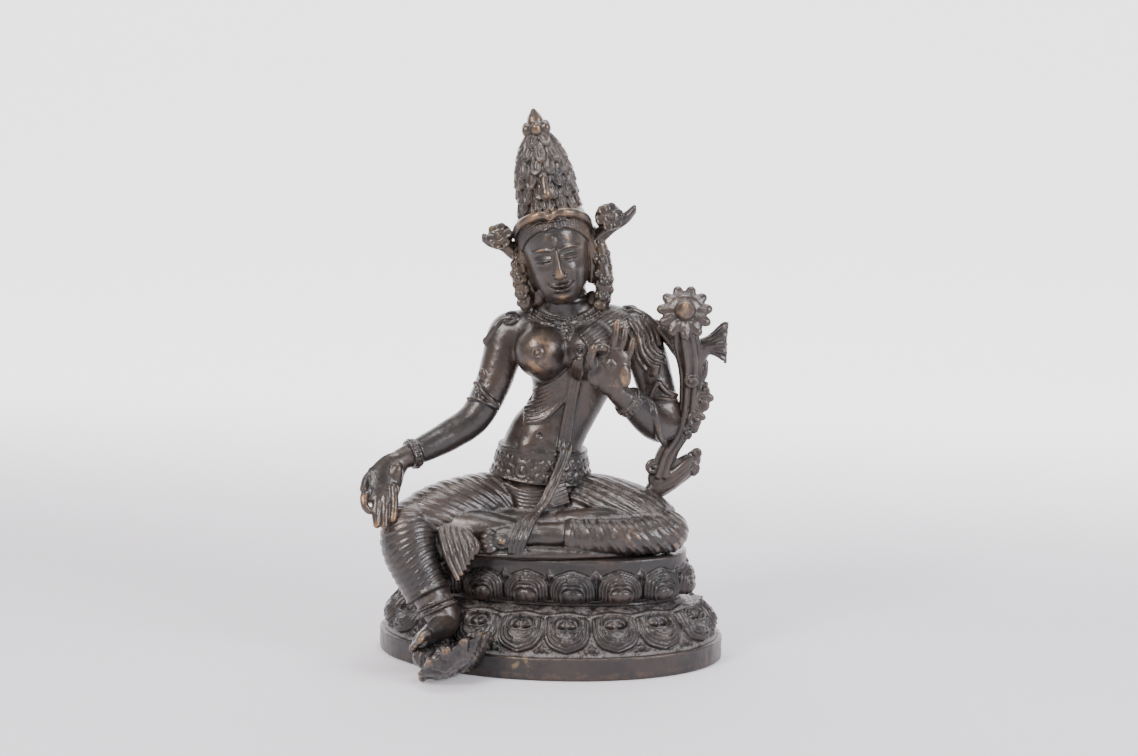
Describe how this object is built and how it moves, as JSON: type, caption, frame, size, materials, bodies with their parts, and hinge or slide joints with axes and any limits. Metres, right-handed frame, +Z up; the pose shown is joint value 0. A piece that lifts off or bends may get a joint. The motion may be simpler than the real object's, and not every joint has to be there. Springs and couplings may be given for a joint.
{
  "type": "cast figure of Tara on a lotus base",
  "caption": "Dark patinated cast bronze of Tara seated at ease on a double lotus base, one foot on a small lotus, with a lotus plant beside the left arm.",
  "frame": {"origin": "middle of the lotus base's underside, on the surface it stands on", "axes": "+Z up to the tip of the hair, -Y is the base's front, +X to the right of someone facing that front; the figure is turned 15 degrees from -Y towards +X"},
  "size_m": [0.162, 0.1419, 0.2487],
  "materials": {
    "figure_bronze": "cast bronze with a dark brown patina, worn to warm brown on its high points",
    "base_bronze": "cast bronze with a dark brown patina and grey dust in its hollows"
  },
  "bodies": {
    "root": {"lotus_base": "base_bronze", "tara_figure": "figure_bronze"}
  },
  "joints": []
}
